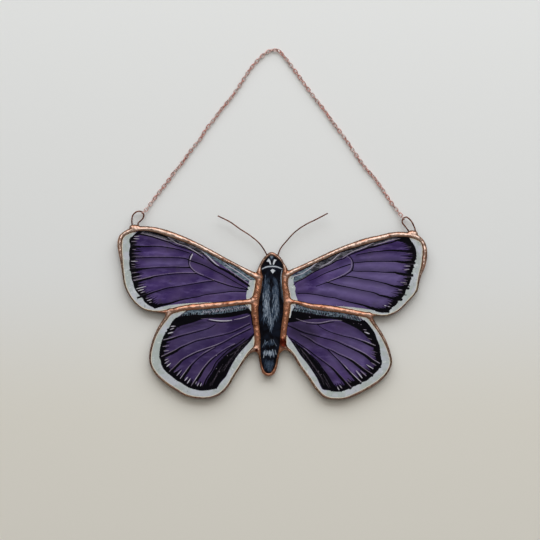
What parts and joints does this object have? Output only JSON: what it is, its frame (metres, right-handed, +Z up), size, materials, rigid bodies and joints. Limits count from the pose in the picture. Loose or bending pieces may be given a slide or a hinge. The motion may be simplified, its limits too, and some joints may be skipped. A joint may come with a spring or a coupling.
{
  "type": "stained glass butterfly suncatcher",
  "caption": "Flat butterfly of painted purple glass panes held in copper-coloured solder, with wire antennae, wire hanging loops and a fine chain.",
  "frame": {"origin": "centre of the box around the butterfly without its chain, on the surface that it lies on", "axes": "+X towards the right wing as seen from the painted face, +Y towards the head, +Z up out of the painted face"},
  "size_m": [0.1699, 0.1933, 0.005],
  "materials": {
    "copper_solder": "hand-run solder with a bright copper patina, lumpy, darker red-brown in the hollows",
    "purple_glass": "purple sheet glass with matt fired paint: black veins and fringe, pale border",
    "body_glass": "dark glass with matt fired paint: black ground and grey fur strokes",
    "copper_wire": "tinned wire with copper patina, slightly worn",
    "copper_chain": "fine copper cable chain, worn bright on the outsides of its links"
  },
  "bodies": {
    "root": {"solder_frame": "copper_solder", "glass_forewing_left": "purple_glass", "glass_hindwing_left": "purple_glass", "glass_forewing_right": "purple_glass", "glass_hindwing_right": "purple_glass", "glass_body": "body_glass", "antenna_left": "copper_wire", "antenna_right": "copper_wire", "loop_left": "copper_wire", "loop_right": "copper_wire", "chain": "copper_chain"}
  },
  "joints": []
}
